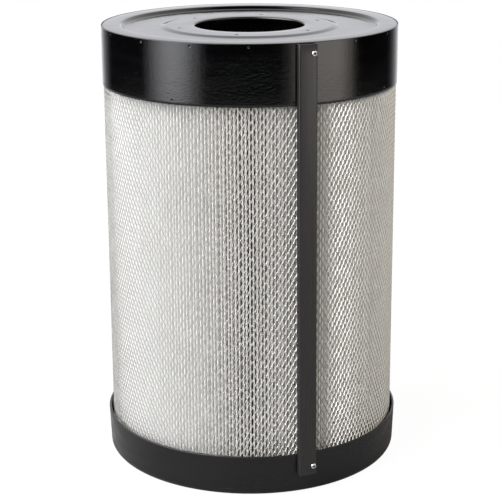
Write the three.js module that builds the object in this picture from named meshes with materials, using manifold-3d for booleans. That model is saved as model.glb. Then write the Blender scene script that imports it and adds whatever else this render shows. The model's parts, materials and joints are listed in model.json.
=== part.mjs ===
// A canister filter for a workshop dust collector: a pleated filter drum between a steel cap with
// the inlet hole and a moulded pan, guarded by expanded metal and held together by two straps.
// Millimetres, +Z up, origin at the centre of the pan's underside. The front strap faces -Y.

import * as THREE from "three";
import { mergeVertices } from "three/addons/utils/BufferGeometryUtils.js";
import Module from "manifold-3d";

const wasm = await Module();
wasm.setup();

// ---- Driving dimensions -------------------------------------------------------------------------

const TOTAL_HEIGHT = 600;
const GAP = 0.3; // clearance between touching pieces
const ROUND_SIDES = 60; // sides of every large round piece
const SMALL_SIDES = 16; // sides of screws, the nuts' bores and small holes
const BEND_STEPS = 3; // chords in each rounded bend
const OVERRUN = 1; // how far a cutter reaches past what it cuts

// Steel cap: a skirt band with a pressed disc staked into it
const CAP_RADIUS = 200;
const CAP_HEIGHT = 79;
const SKIRT_WALL = 1;
const DISC_SHEET = 1.2;
const DISC_FLANGE = 22;
const RIM_BEND = 2; // outer radius of the bend between the flange and the rim
const RIM_WIDTH = 25; // flat rim round the recess
const RECESS_DEPTH = 5;
const RECESS_SLOPE = 5; // radial width of the recess's sloping wall
const PLATFORM_RADIUS = 112;
const PLATFORM_RISE = 2;
const PLATFORM_SLOPE = 8;
const INLET_RADIUS = 74;
const INLET_LIP = 5; // height of the inlet's turned-down lip
const INLET_ROUND = 3; // radius of that lip's bend
const FLANGE_HOLES = 6;
const FLANGE_HOLE_RADIUS = 2.2;
const FLANGE_HOLE_CIRCLE = 99; // radius of the circle that they lie on

// Moulded pan
const PAN_LIP_OVERHANG = 4.4; // how far the lip stands out past the cap
const PAN_HEIGHT = 56;
const PAN_WALL = 3;
const PAN_FLOOR = 3;
const PAN_DRAFT = 2.2; // how much smaller the wall's foot is than its lip
const PAN_CORNER = 8;
const GUARD_SEAT_HEIGHT = 8;

// Expanded-metal guard, in two half sheets
const GUARD_SHEET = 1.5;
const GUARD_SEAM = 1;

// Filter drum
const NUT_ROOM = 0.6; // room between the nuts and the drum's end rings
const RING_SHEET = 1.2;
const RING_DEPTH = 26;
const POTTING_DEPTH = 10;
const RING_LEDGE = 4; // how far the end rings reach in past the core
const GASKET_THICKNESS = 7;
const GASKET_WIDTH = 20;
const GASKET_INSET = 4; // from the end ring's bore to the gasket
const PLEATS = 72;
const PLEAT_DEPTH = 46;
const PLEAT_SHEET = 1.2;
const PLEAT_TIP = 3; // width of each outer fold, across both walls
const CORE_SHEET = 1.2;

// Straps: U channels with one screw near each end
const STRAP_WIDTH = 25;
const STRAP_DEPTH = 8;
const STRAP_SHEET = 1.5;
const STRAP_BEND = 2.5;
const STRAP_FOOT_HEIGHT = 28; // from the pan's underside to the strap's lower end
const STRAP_TOP_DROP = 1;
const SCREW_END_DISTANCE = 12;
const SCREW_SIDE_OFFSET = 7.6; // from the strap's centre line
const SCREW_RADIUS = 2;
const SCREW_HEAD_RADIUS = 3.7;
const SCREW_HEAD_HEIGHT = 2.6;
const SCREW_HEAD_DOME = [[1, 0.4], [0.9, 0.75], [0.6, 1]]; // shares of the head's radius and height
const SOCKET_RADIUS = 1.5;
const SOCKET_DEPTH = 1.4;
const NUT_ACROSS_FLATS = 7;
const NUT_THICKNESS = 3.2;

// ---- Derived places -----------------------------------------------------------------------------

/** How far from the axis a round wall's inner face is, at the far corner of a nut against it. */
function wallBehindNut(wallRadius) {
  const reach = SCREW_SIDE_OFFSET + NUT_ACROSS_FLATS / 2;
  const flatRadius = wallRadius * Math.cos(Math.PI / ROUND_SIDES);
  return Math.sqrt(flatRadius ** 2 - reach ** 2);
}

const skirtInner = CAP_RADIUS - SKIRT_WALL;
const discRadius = skirtInner - GAP;
const skirtFoot = TOTAL_HEIGHT - CAP_HEIGHT;
const recessOuter = discRadius - RIM_WIDTH;
const recessFloor = TOTAL_HEIGHT - RECESS_DEPTH;
const platformTop = recessFloor + PLATFORM_RISE;
const flangeFoot = TOTAL_HEIGHT - DISC_FLANGE;

const guardOuter = discRadius;
const guardInner = guardOuter - GUARD_SHEET;
const guardFoot = GUARD_SEAT_HEIGHT + GAP;
const guardTop = flangeFoot - GAP;

const ringRadius = wallBehindNut(guardInner) - 2 * GAP - NUT_THICKNESS - NUT_ROOM;
const lowerGasketFoot = PAN_FLOOR + GAP;
const lowerRingFoot = lowerGasketFoot + GASKET_THICKNESS + GAP;
const upperGasketFoot = recessFloor - DISC_SHEET - GAP - GASKET_THICKNESS;
const upperRingTop = upperGasketFoot - GAP;
const drumFoot = lowerRingFoot + RING_SHEET + POTTING_DEPTH + 2 * GAP; // lower ends of the pleats
const drumTop = upperRingTop - RING_SHEET - POTTING_DEPTH - 2 * GAP;

const pleatOuter = (ringRadius - RING_SHEET) * Math.cos(Math.PI / ROUND_SIDES) - GAP;
const pleatInner = pleatOuter - PLEAT_DEPTH;
const coreOuter = pleatInner - GAP;
const coreInner = coreOuter - CORE_SHEET;
const ringBore = coreInner - RING_LEDGE;
const gasketInner = ringBore + GASKET_INSET;
const gasketOuter = gasketInner + GASKET_WIDTH;

// The strap leans out so that its legs touch the cap's top edge and the pan's lip.
const panLipRadius = CAP_RADIUS + PAN_LIP_OVERHANG;
const capReach = Math.sqrt(CAP_RADIUS ** 2 - (STRAP_WIDTH / 2) ** 2);
const panReach = Math.sqrt(panLipRadius ** 2 - (STRAP_WIDTH / 2) ** 2);
const strapTop = TOTAL_HEIGHT - STRAP_TOP_DROP;
const strapLength = strapTop - STRAP_FOOT_HEIGHT;
const lean = Math.atan2(panReach - capReach, strapTop - PAN_HEIGHT);

// ---- Solids -------------------------------------------------------------------------------------

/** A closed geometry as a solid: shared points are merged and empty triangles dropped. */
function toSolid(geometry) {
  const bare = geometry.clone();
  bare.deleteAttribute("normal");
  bare.deleteAttribute("uv");
  const merged = mergeVertices(bare);
  const corners = merged.index.array;
  const kept = [];
  for (let i = 0; i < corners.length; i += 3) {
    const [a, b, c] = [corners[i], corners[i + 1], corners[i + 2]];
    if (a !== b && b !== c && c !== a) kept.push(a, b, c);
  }
  const mesh = new wasm.Mesh({
    numProp: 3,
    vertProperties: new Float32Array(merged.attributes.position.array),
    triVerts: new Uint32Array(kept),
  });
  return new wasm.Manifold(mesh);
}

/** A solid as a geometry. */
function toGeometry(solid) {
  const { vertProperties, triVerts } = solid.getMesh();
  const geometry = new THREE.BufferGeometry();
  geometry.setAttribute("position", new THREE.BufferAttribute(new Float32Array(vertProperties), 3));
  geometry.setIndex(new THREE.BufferAttribute(new Uint32Array(triVerts), 1));
  geometry.computeVertexNormals();
  return geometry;
}

/** A solid turned about the Z axis from a closed outline of [radius, height] points, anticlockwise. */
function turned(outline, sides = ROUND_SIDES) {
  const closed = [...outline, outline[0]];
  const profile = closed.map(([radius, height]) => new THREE.Vector2(radius, height));
  return toSolid(new THREE.LatheGeometry(profile, sides).rotateX(Math.PI / 2));
}

/** Points along an arc in the [radius, height] plane. */
function arc(centreRadius, centreHeight, radius, fromAngle, toAngle) {
  return Array.from({ length: BEND_STEPS + 1 }, (_, i) => {
    const angle = fromAngle + ((toAngle - fromAngle) * i) / BEND_STEPS;
    return [centreRadius + radius * Math.cos(angle), centreHeight + radius * Math.sin(angle)];
  });
}

/** A plain ring between two radii and two heights. */
function ring(inner, outer, foot, top) {
  return turned([[inner, foot], [outer, foot], [outer, top], [inner, top]]);
}

/** A box given by its two corners. */
function block(low, high) {
  const size = high.map((value, i) => value - low[i]);
  const middle = high.map((value, i) => (value + low[i]) / 2);
  return toSolid(new THREE.BoxGeometry(...size).translate(...middle));
}

/** An upright cylinder between two heights. */
function upright(x, y, radius, foot, top, sides = SMALL_SIDES) {
  const geometry = new THREE.CylinderGeometry(radius, radius, top - foot, sides);
  return toSolid(geometry.rotateX(Math.PI / 2).translate(x, y, (foot + top) / 2));
}

// ---- Cap ----------------------------------------------------------------------------------------

function capSkirtBand() {
  return ring(skirtInner, CAP_RADIUS, skirtFoot, TOTAL_HEIGHT);
}

/** The pressed disc: flange, rim, sloping recess, raised platform and the inlet's turned-down lip. */
function capTopDisc() {
  const sheet = DISC_SHEET;
  const recessInner = recessOuter - RECESS_SLOPE;
  const platformFoot = PLATFORM_RADIUS + PLATFORM_SLOPE;
  const lipCentre = INLET_RADIUS + INLET_ROUND;
  const lipFoot = platformTop - INLET_LIP;
  const outline = [
    [discRadius, flangeFoot],
    ...arc(discRadius - RIM_BEND, TOTAL_HEIGHT - RIM_BEND, RIM_BEND, 0, Math.PI / 2),
    [recessOuter, TOTAL_HEIGHT],
    [recessInner, recessFloor],
    [platformFoot, recessFloor],
    [PLATFORM_RADIUS, platformTop],
    ...arc(lipCentre, platformTop - INLET_ROUND, INLET_ROUND, Math.PI / 2, Math.PI),
    [INLET_RADIUS, lipFoot],
    [INLET_RADIUS + sheet, lipFoot],
    ...arc(lipCentre, platformTop - INLET_ROUND, INLET_ROUND - sheet, Math.PI, Math.PI / 2),
    [PLATFORM_RADIUS, platformTop - sheet],
    [platformFoot, recessFloor - sheet],
    [recessInner, recessFloor - sheet],
    [recessOuter, TOTAL_HEIGHT - sheet],
    ...arc(discRadius - RIM_BEND, TOTAL_HEIGHT - RIM_BEND, RIM_BEND - sheet, Math.PI / 2, 0),
    [discRadius - sheet, flangeFoot],
  ];
  let disc = turned(outline);
  for (let i = 0; i < FLANGE_HOLES; i += 1) {
    // The holes straddle the straps: the first lies half a step round from the front strap.
    const angle = -Math.PI / 2 + ((i + 0.5) * 2 * Math.PI) / FLANGE_HOLES;
    const x = FLANGE_HOLE_CIRCLE * Math.cos(angle);
    const y = FLANGE_HOLE_CIRCLE * Math.sin(angle);
    disc = disc.subtract(upright(x, y, FLANGE_HOLE_RADIUS, recessFloor, TOTAL_HEIGHT));
  }
  return disc;
}

// ---- Pan ----------------------------------------------------------------------------------------

/** The pan: flat underside, rounded foot, drafted wall, and a low seat that the guard stands on. */
function basePan() {
  const footRadius = panLipRadius - PAN_DRAFT;
  const seatInner = ringRadius + GAP;
  const seatOuter = footRadius - PAN_WALL;
  const outline = [
    [0, 0],
    ...arc(footRadius - PAN_CORNER, PAN_CORNER, PAN_CORNER, -Math.PI / 2, 0),
    [panLipRadius, PAN_HEIGHT],
    [panLipRadius - PAN_WALL, PAN_HEIGHT],
    [seatOuter, GUARD_SEAT_HEIGHT],
    [seatInner, GUARD_SEAT_HEIGHT],
    [seatInner, PAN_FLOOR],
    [0, PAN_FLOOR],
  ];
  return turned(outline);
}

// ---- Guard --------------------------------------------------------------------------------------

/** Half of the guard: side is -1 for the left sheet and 1 for the right one. */
function guardSheet(side) {
  const tube = ring(guardInner, guardOuter, guardFoot, guardTop);
  const near = (side * GUARD_SEAM) / 2;
  const far = side * CAP_RADIUS;
  const half = block(
    [Math.min(near, far), -CAP_RADIUS, 0],
    [Math.max(near, far), CAP_RADIUS, TOTAL_HEIGHT],
  );
  return tube.intersect(half);
}

// ---- Filter drum --------------------------------------------------------------------------------

/** A channel ring round one end of the pleats. Its web is at the foot or at the top. */
function endRing(foot, webAtFoot) {
  const top = foot + RING_DEPTH;
  const inner = ringBore;
  const channel = webAtFoot
    ? ring(inner + RING_SHEET, ringRadius - RING_SHEET, foot + RING_SHEET, top + GAP)
    : ring(inner + RING_SHEET, ringRadius - RING_SHEET, foot - GAP, top - RING_SHEET);
  return ring(inner, ringRadius, foot, top).subtract(channel);
}

/** The set resin on the web of a channel ring, which holds the ends of the pleats. */
function potting(foot) {
  const inner = ringBore + RING_SHEET + GAP;
  const outer = ringRadius - RING_SHEET - GAP;
  return ring(inner, outer, foot, foot + POTTING_DEPTH);
}

/** One zigzag line of the pleated sheet: half the sheet's thickness outside or inside its middle. */
function pleatLine(outerRadius, innerRadius, outerHalfWidth, innerHalfWidth) {
  const points = [];
  for (let i = 0; i < PLEATS; i += 1) {
    const middle = ((i + 0.5) * 2 * Math.PI) / PLEATS;
    const gapMiddle = middle + Math.PI / PLEATS;
    const corners = [
      [outerRadius, middle - outerHalfWidth / outerRadius],
      [outerRadius, middle + outerHalfWidth / outerRadius],
      [innerRadius, gapMiddle - innerHalfWidth / innerRadius],
      [innerRadius, gapMiddle + innerHalfWidth / innerRadius],
    ];
    for (const [radius, angle] of corners) {
      points.push(new THREE.Vector2(radius * Math.cos(angle), radius * Math.sin(angle)));
    }
  }
  return points;
}

/** The filter paper, folded into deep radial pleats. */
function pleatedMedia() {
  const half = PLEAT_TIP / 2;
  const sheet = PLEAT_SHEET;
  const outerLine = pleatLine(pleatOuter, pleatInner + sheet, half, half - sheet);
  const innerLine = pleatLine(pleatOuter - sheet, pleatInner, half - sheet, half);
  const section = new THREE.Shape(outerLine);
  section.holes.push(new THREE.Path(innerLine));
  const depth = drumTop - drumFoot;
  const geometry = new THREE.ExtrudeGeometry(section, { depth, bevelEnabled: false });
  return toSolid(geometry.translate(0, 0, drumFoot));
}

function innerCore() {
  return ring(coreInner, coreOuter, drumFoot, drumTop);
}

// ---- Straps and their screws --------------------------------------------------------------------

// Each strap is drawn upright in its own frame: x across, z along from the lower end, and y = 0 on
// the outer face, with the legs reaching towards +y.

const strapFrame = new THREE.Group();
strapFrame.rotation.x = -lean;
const faceAtTop = capReach + GAP + STRAP_DEPTH;
strapFrame.position.set(
  0,
  -(faceAtTop + strapLength * Math.sin(lean)),
  strapTop - strapLength * Math.cos(lean),
);

const screwHeights = { lower: SCREW_END_DISTANCE, upper: strapLength - SCREW_END_DISTANCE };

function strapOutline() {
  const w = STRAP_WIDTH / 2;
  const t = STRAP_SHEET;
  const bend = STRAP_BEND;
  const inside = bend - t;
  const outline = new THREE.Shape();
  outline.moveTo(-w, STRAP_DEPTH);
  outline.lineTo(-w, bend);
  outline.absarc(-w + bend, bend, bend, Math.PI, 1.5 * Math.PI, false);
  outline.lineTo(w - bend, 0);
  outline.absarc(w - bend, bend, bend, 1.5 * Math.PI, 2 * Math.PI, false);
  outline.lineTo(w, STRAP_DEPTH);
  outline.lineTo(w - t, STRAP_DEPTH);
  outline.lineTo(w - t, bend);
  outline.absarc(w - bend, bend, inside, 2 * Math.PI, 1.5 * Math.PI, true);
  outline.lineTo(-w + bend, t);
  outline.absarc(-w + bend, bend, inside, 1.5 * Math.PI, Math.PI, true);
  outline.closePath();
  return outline;
}

/** A cylinder along the strap frame's y axis, on a screw's line. */
function crossways(radius, from, to, height, sides = SMALL_SIDES) {
  const geometry = new THREE.CylinderGeometry(radius, radius, to - from, sides);
  return toSolid(geometry.translate(SCREW_SIDE_OFFSET, (from + to) / 2, height));
}

function strap() {
  const options = { depth: strapLength, bevelEnabled: false, curveSegments: BEND_STEPS };
  let channel = toSolid(new THREE.ExtrudeGeometry(strapOutline(), options));
  for (const height of Object.values(screwHeights)) {
    const hole = crossways(SCREW_RADIUS + GAP, -STRAP_SHEET, STRAP_DEPTH, height);
    channel = channel.subtract(hole);
  }
  return channel;
}

/** Where a nut starts behind the strap's face so that it clears the round wall it bears on. */
function nutStart(height, wallRadius) {
  const face = faceAtTop + (strapLength - height) * Math.sin(lean);
  const leanAcrossNut = NUT_ACROSS_FLATS * Math.sin(lean);
  return face - wallBehindNut(wallRadius) + GAP + leanAcrossNut;
}

const nutStarts = {
  lower: nutStart(screwHeights.lower, guardInner),
  upper: nutStart(screwHeights.upper, discRadius - DISC_SHEET),
};

/** A pan-head screw: domed head with a round socket, and a shank that ends flush with its nut. */
function screw(end) {
  const height = screwHeights[end];
  const tip = nutStarts[end] + NUT_THICKNESS;
  const shank = crossways(SCREW_RADIUS, -GAP - OVERRUN, tip, height);
  const crown = SCREW_HEAD_HEIGHT;
  const profile = [
    [0, 0],
    [SCREW_HEAD_RADIUS, 0],
    ...SCREW_HEAD_DOME.map(([out, up]) => [out * SCREW_HEAD_RADIUS, up * crown]),
    [0, crown],
  ].map(([radius, along]) => new THREE.Vector2(radius, along));
  const head = new THREE.LatheGeometry([...profile, profile[0]], SMALL_SIDES);
  const placed = toSolid(head.rotateX(Math.PI).translate(SCREW_SIDE_OFFSET, -GAP, height));
  const socketFoot = -GAP - crown + SOCKET_DEPTH;
  const socket = crossways(SOCKET_RADIUS, -GAP - crown - OVERRUN, socketFoot, height, 6);
  return placed.add(shank).subtract(socket);
}

/** A hexagon nut with two flats level. */
function nut(end) {
  const cornerRadius = NUT_ACROSS_FLATS / 2 / Math.cos(Math.PI / 6);
  const start = nutStarts[end];
  const stop = start + NUT_THICKNESS;
  const height = screwHeights[end];
  const body = new THREE.CylinderGeometry(cornerRadius, cornerRadius, NUT_THICKNESS, 6);
  body.rotateY(Math.PI / 6);
  const hexagon = toSolid(body.translate(SCREW_SIDE_OFFSET, (start + stop) / 2, height));
  return hexagon.subtract(crossways(SCREW_RADIUS + GAP, start - OVERRUN, stop + OVERRUN, height));
}

/** Cuts the clearance holes of all four screws through a round piece. */
function drilled(solid) {
  let result = solid;
  for (const turn of [0, Math.PI]) {
    for (const [end, height] of Object.entries(screwHeights)) {
      const reach = nutStarts[end] + NUT_THICKNESS;
      const drill = toGeometry(crossways(SCREW_RADIUS + GAP, 0, reach, height));
      strapFrame.updateMatrix();
      drill.applyMatrix4(strapFrame.matrix).rotateZ(turn);
      result = result.subtract(toSolid(drill));
    }
  }
  return result;
}

// ---- Assembly -----------------------------------------------------------------------------------

const finishes = {
  glossBlackPaint: { color: 0x0b0b0c, roughness: 0.12, metalness: 0.0 },
  satinBlackPlastic: { color: 0x161617, roughness: 0.42, metalness: 0.0 },
  zincMesh: { color: 0xb9bdb8, roughness: 0.35, metalness: 1.0 },
  zincSteel: { color: 0xc8cacb, roughness: 0.3, metalness: 1.0 },
  strapPaint: { color: 0x2a2a2b, roughness: 0.3, metalness: 0.0 },
  ringPaint: { color: 0x262627, roughness: 0.4, metalness: 0.0 },
  filterPaper: { color: 0xf1f0ea, roughness: 0.9, metalness: 0.0 },
  foamRubber: { color: 0x1b1b1c, roughness: 0.85, metalness: 0.0 },
  resin: { color: 0x3a3a3d, roughness: 0.5, metalness: 0.0 },
};

function named(name, solid, finish) {
  const material = new THREE.MeshStandardMaterial(finishes[finish]);
  const mesh = new THREE.Mesh(toGeometry(solid), material);
  mesh.name = name;
  return mesh;
}

const canister = new THREE.Group();
canister.add(
  named("cap_top_disc", drilled(capTopDisc()), "glossBlackPaint"),
  named("cap_skirt_band", drilled(capSkirtBand()), "glossBlackPaint"),
  named("upper_gasket", ring(gasketInner, gasketOuter, upperGasketFoot,
    upperGasketFoot + GASKET_THICKNESS), "foamRubber"),
  named("upper_end_ring", endRing(upperRingTop - RING_DEPTH, false), "ringPaint"),
  named("upper_potting", potting(drumTop + GAP), "resin"),
  named("pleated_media", pleatedMedia(), "filterPaper"),
  named("inner_core", innerCore(), "zincMesh"),
  named("outer_guard_left", drilled(guardSheet(-1)), "zincMesh"),
  named("outer_guard_right", drilled(guardSheet(1)), "zincMesh"),
  named("lower_potting", potting(drumFoot - GAP - POTTING_DEPTH), "resin"),
  named("lower_end_ring", endRing(lowerRingFoot, true), "ringPaint"),
  named("lower_gasket", ring(gasketInner, gasketOuter, lowerGasketFoot,
    lowerGasketFoot + GASKET_THICKNESS), "foamRubber"),
  named("base_pan", drilled(basePan()), "satinBlackPlastic"),
);

for (const [side, turn] of [["front", 0], ["rear", Math.PI]]) {
  const stand = new THREE.Group();
  stand.rotation.z = turn;
  const tilted = strapFrame.clone();
  tilted.add(named(`strap_${side}`, strap(), "strapPaint"));
  for (const end of ["upper", "lower"]) {
    tilted.add(named(`strap_screw_${side}_${end}`, screw(end), "zincSteel"));
    tilted.add(named(`strap_nut_${side}_${end}`, nut(end), "zincSteel"));
  }
  stand.add(tilted);
  canister.add(stand);
}

export default canister;
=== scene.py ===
# %% [markdown]
# # A canister filter, from its frame to its finish
# The object is the filter of a workshop dust collector: a pleated drum between a black steel cap
# with the inlet hole and a moulded black pan, behind a guard of expanded metal, with a channel
# strap screwed down each side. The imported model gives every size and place. This lesson builds
# each piece again as a fine surface round that frame, and gives it a finish.

import json
import math

import bmesh
import bpy
import numpy as np
from mathutils import Matrix, Vector

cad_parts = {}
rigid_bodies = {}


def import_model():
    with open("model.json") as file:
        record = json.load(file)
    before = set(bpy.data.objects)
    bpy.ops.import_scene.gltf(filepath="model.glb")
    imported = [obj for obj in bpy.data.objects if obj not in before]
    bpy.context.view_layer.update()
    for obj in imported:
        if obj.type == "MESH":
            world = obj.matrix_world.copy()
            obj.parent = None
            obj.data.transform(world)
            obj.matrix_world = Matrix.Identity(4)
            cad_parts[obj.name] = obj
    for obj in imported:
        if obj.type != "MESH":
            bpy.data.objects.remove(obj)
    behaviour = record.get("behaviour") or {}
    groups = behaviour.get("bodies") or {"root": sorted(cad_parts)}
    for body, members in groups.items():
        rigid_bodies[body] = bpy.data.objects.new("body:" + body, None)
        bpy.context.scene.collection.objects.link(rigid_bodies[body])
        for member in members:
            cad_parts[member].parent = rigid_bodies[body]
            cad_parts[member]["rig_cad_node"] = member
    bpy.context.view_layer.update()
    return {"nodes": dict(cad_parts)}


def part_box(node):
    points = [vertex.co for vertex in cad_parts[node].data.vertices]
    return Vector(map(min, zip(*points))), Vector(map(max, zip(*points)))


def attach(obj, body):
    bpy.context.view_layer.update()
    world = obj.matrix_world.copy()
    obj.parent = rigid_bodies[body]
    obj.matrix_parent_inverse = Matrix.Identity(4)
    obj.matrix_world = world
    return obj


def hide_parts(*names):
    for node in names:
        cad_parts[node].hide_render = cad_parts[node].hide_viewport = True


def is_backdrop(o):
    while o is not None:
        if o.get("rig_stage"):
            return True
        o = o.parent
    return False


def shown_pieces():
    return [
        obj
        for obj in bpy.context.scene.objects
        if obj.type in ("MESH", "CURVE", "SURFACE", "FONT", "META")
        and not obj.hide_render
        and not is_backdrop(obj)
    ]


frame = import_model()
MM = 0.001
print("nodes in the frame:", len(frame["nodes"]))

# %% [markdown]
# ## Where the pieces are
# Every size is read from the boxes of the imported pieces, so nothing is measured twice. A round
# piece's outer radius is half its box's width. The sheet thicknesses and the press radii are this
# script's own, because a box can't say them.

# %% Sizes read from the frame, in millimetres
def box_mm(node):
    """Lowest and highest corner of a node, in millimetres."""
    low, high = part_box(node)
    return np.array(low) / MM, np.array(high) / MM


def round_sizes(node):
    """Outer radius, foot and top of a round node, in millimetres."""
    low, high = box_mm(node)
    return high[0], low[2], high[2]


cap_radius, skirt_foot, cap_top = round_sizes("cap_skirt_band")
disc_radius, flange_foot, _ = round_sizes("cap_top_disc")
pan_lip_radius, _, pan_height = round_sizes("base_pan")
ring_radius = round_sizes("lower_end_ring")[0]
pleat_outer, drum_foot, drum_top = round_sizes("pleated_media")
core_outer = round_sizes("inner_core")[0]
_, guard_foot, guard_top = round_sizes("outer_guard_right")
guard_outer = -box_mm("outer_guard_right")[0][1]  # this half reaches round to the front
GAP = 0.3  # clearance between pieces that touch
print("cap radius", round(cap_radius, 2), "height", round(cap_top, 1))
print("skirt foot", round(skirt_foot, 1), "guard radius", round(guard_outer, 2))
print("pleats", round(pleat_outer, 2), "core", round(core_outer, 2))

# %% [markdown]
# ## Three makers of surfaces
# Nearly everything on a canister is spun, rolled or folded, so three makers do most of the work:
# one that turns a list of points and quads into an object, one that turns a closed outline about
# the axis, and one that rounds the corners of an outline. A shape is worked out as whole arrays.
# The other way would be to model each piece by hand and bevel it, but then its sizes would not
# follow the frame.

# %% Points and quads into an object
def make_piece(name, points_mm, faces, crease_degrees=35, weld=True):
    """An object from an array of points in millimetres and arrays of quads or triangles.

    Points closer than two microns are joined, which closes seams and poles. Edges sharper than
    the crease angle stay sharp, the rest are shaded smooth.
    """
    groups = faces if isinstance(faces, list) else [faces]
    mesh = bpy.data.meshes.new(name)
    mesh.vertices.add(len(points_mm))
    mesh.vertices.foreach_set("co", (np.asarray(points_mm, float) * MM).astype(np.float32).ravel())
    corners = np.concatenate([g.ravel() for g in groups]).astype(np.int32)
    counts = np.concatenate([np.full(len(g), g.shape[1]) for g in groups])
    starts = np.concatenate([[0], np.cumsum(counts)[:-1]]).astype(np.int32)
    mesh.loops.add(len(corners))
    mesh.loops.foreach_set("vertex_index", corners)
    mesh.polygons.add(len(counts))
    mesh.polygons.foreach_set("loop_start", starts)
    mesh.update(calc_edges=True)
    if weld:
        shape = bmesh.new()
        shape.from_mesh(mesh)
        bmesh.ops.remove_doubles(shape, verts=shape.verts, dist=2e-6)
        loose = [edge for edge in shape.edges if not edge.link_faces]
        bmesh.ops.delete(shape, geom=loose, context="EDGES")
        shape.to_mesh(mesh)
        shape.free()
    mesh.polygons.foreach_set("use_smooth", np.ones(len(mesh.polygons), bool))
    mesh.set_sharp_from_angle(angle=math.radians(crease_degrees))
    mesh.validate()
    piece = bpy.data.objects.new(name, mesh)
    bpy.context.scene.collection.objects.link(piece)
    return piece


def grid_quads(rows, columns, close_rows=False, close_columns=False):
    """Quads of a grid of rows by columns points, numbered row by row; a closed way wraps round."""
    i = np.arange(rows if close_rows else rows - 1)
    j = np.arange(columns if close_columns else columns - 1)
    i, j = (a.ravel() for a in np.meshgrid(i, j, indexing="ij"))
    down, right = (i + 1) % rows, (j + 1) % columns
    corners = [i * columns + j, down * columns + j, down * columns + right, i * columns + right]
    return np.stack(corners, 1)


# %% Outlines with rounded corners, and turned pieces
def rounded(corners, default=0.0, steps=5):
    """A closed outline of [radius, height] corners; a third number is that corner's fillet radius.

    Each fillet is the arc that touches both sides: it starts where the sides are
    radius times tan(half the turn) away from the corner.
    """
    bare = np.array([c[:2] for c in corners], float)
    radii = [c[2] if len(c) > 2 else default for c in corners]
    outline = []
    for k, (corner, radius) in enumerate(zip(bare, radii)):
        to_last = bare[k - 1] - corner
        to_next = bare[(k + 1) % len(bare)] - corner
        last_length, next_length = np.linalg.norm(to_last), np.linalg.norm(to_next)
        a, b = to_last / last_length, to_next / next_length
        half = math.acos(np.clip(a @ b, -1, 1)) / 2
        if radius <= 0 or half > math.radians(89.5):
            outline.append(corner)
            continue
        back = min(radius / math.tan(half), 0.49 * last_length, 0.49 * next_length)
        radius = back * math.tan(half)
        middle = corner + (a + b) / np.linalg.norm(a + b) * radius / math.sin(half)
        start = corner + a * back - middle
        side = np.cross(a, b)
        sweep = (math.pi - 2 * half) * (1 if side < 0 else -1)
        for t in np.linspace(0, sweep, steps + 1):
            c, s = math.cos(t), math.sin(t)
            outline.append(middle + [c * start[0] - s * start[1], s * start[0] + c * start[1]])
    return np.array(outline)


def directions(sides):
    """So many equal steps round the axis, in radians."""
    return np.linspace(0, 2 * math.pi, sides, endpoint=False)


def around_axis(radius, angle, height):
    """Points (r cos a, r sin a, z), from arrays whose shapes fit together."""
    radius, angle, height = np.broadcast_arrays(radius, angle, height)
    points = np.stack([radius * np.cos(angle), radius * np.sin(angle), height], -1)
    return points.reshape(-1, 3)


def turned_points(outline, angles):
    """Points of an outline turned to each angle, one outline after another."""
    return around_axis(outline[:, 0], angles[:, None], outline[:, 1])


def turned_piece(name, outline, sides=256, crease_degrees=35):
    """A piece turned about the axis from a closed anticlockwise outline of [radius, height]."""
    quads = grid_quads(sides, len(outline), True, True)
    return make_piece(name, turned_points(outline, directions(sides)), quads, crease_degrees)


def finish_piece(piece, material, slot, *nodes):
    """Gives a piece its finish and its place on the frame, and hides the node that it stands for.
    """
    piece.data.materials.clear()
    piece.data.materials.append(material)
    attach(piece, "root")
    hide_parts(*nodes)
    triangles = sum(len(p.vertices) - 2 for p in piece.data.polygons)
    print(f"{piece.name}: {triangles} triangles")
    return piece


# %% [markdown]
# ## A short hand for finishes
# A finish is a Principled shader with a little noise in its roughness, its colour and its height.
# The noise is scaled in real metres, from Object coordinates, so that grain keeps its true size.
# Numbers that are the same all over are set on the shader itself.

# %% Node helpers
def node_maker(tree):
    """A short hand for one node tree: it makes a node, sets its options and feeds its inputs.

    An input is a plain value, or another node's socket, which is linked.
    """
    def node(kind, inputs=None, **settings):
        made = tree.nodes.new("ShaderNode" + kind)
        for key, value in settings.items():
            setattr(made, key, value)
        for key, value in (inputs or {}).items():
            if isinstance(value, bpy.types.NodeSocket):
                tree.links.new(value, made.inputs[key])
            else:
                made.inputs[key].default_value = value
        return made

    return node


def new_finish(name):
    """An empty node material with its shader: returns the material, a node maker and the shader."""
    material = bpy.data.materials.new(name)
    material.use_nodes = True
    material.node_tree.nodes.clear()
    node = node_maker(material.node_tree)
    shader = node("BsdfPrincipled")
    node("OutputMaterial", {"Surface": shader.outputs["BSDF"]})
    return material, node, shader


def link(shader, socket, source):
    """Feeds one of the shader's sockets."""
    shader.id_data.links.new(source, shader.inputs[socket])


def set_values(shader, **values):
    """Sets plain numbers or colours on the shader's own sockets; underscores stand for spaces."""
    for key, value in values.items():
        shader.inputs[key.replace("_", " ")].default_value = value


# %% Places and patterns
def place(node):
    """The piece's own coordinates, in metres."""
    return node("TexCoord").outputs["Object"]


def height_of(node, where):
    """The upward part of a place or a direction."""
    return node("SeparateXYZ", {"Vector": where}).outputs["Z"]


def stretched(node, where, level, upright):
    """A place scaled by one number both level ways, and by another number upright."""
    return node("Mapping", {"Vector": where, "Scale": (level, level, upright)}).outputs["Vector"]


def grain(node, where, scale, detail=3.0, roughness=0.55):
    """Noise with so many lumps a metre; its factor runs about 0.3 to 0.7."""
    inputs = {"Vector": where, "Scale": scale, "Detail": detail, "Roughness": roughness}
    return node("TexNoise", inputs).outputs["Fac"]


def streaks(node, where, level, upright, detail=3.0, roughness=0.55):
    """Noise with so many lumps a metre on the level, and so many upright."""
    return grain(node, stretched(node, where, level, upright), 1.0, detail, roughness)


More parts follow.
